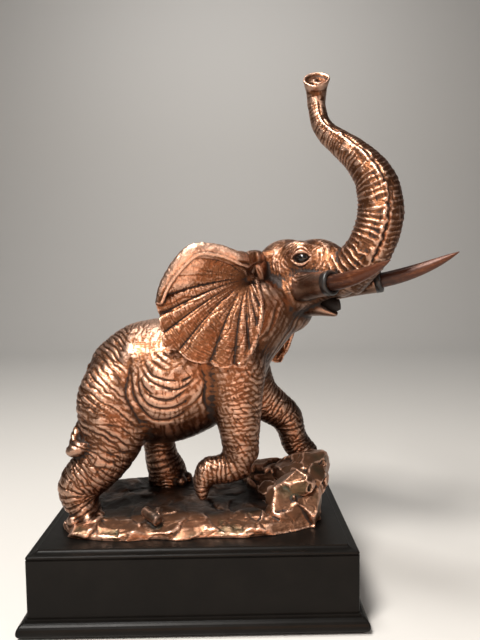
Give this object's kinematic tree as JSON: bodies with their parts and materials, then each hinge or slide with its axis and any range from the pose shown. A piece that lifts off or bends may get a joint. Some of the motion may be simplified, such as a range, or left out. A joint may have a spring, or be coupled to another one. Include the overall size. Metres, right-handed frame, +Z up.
{
  "type": "elephant sculpture",
  "caption": "Cast elephant striding over a rock with its trunk raised in an S and curved tusks, on a black moulded plinth that stands on its flat underside.",
  "frame": {"origin": "centre of the plinth's flat underside", "axes": "+Z up, +X the way the elephant walks, along the plinth's long side, +Y to the elephant's left"},
  "size_m": [0.3252, 0.1765, 0.4082],
  "materials": {
    "plinth_lacquer": "black satin lacquer on wood",
    "casting": "polished copper bronze with a dark brown patina in the folds and a little green on the rock",
    "tusk": "satin orange brown patina"
  },
  "bodies": {
    "root": {"plinth": "plinth_lacquer", "elephant_and_rock": "casting", "tusk_right": "tusk", "tusk_left": "tusk"}
  },
  "joints": []
}
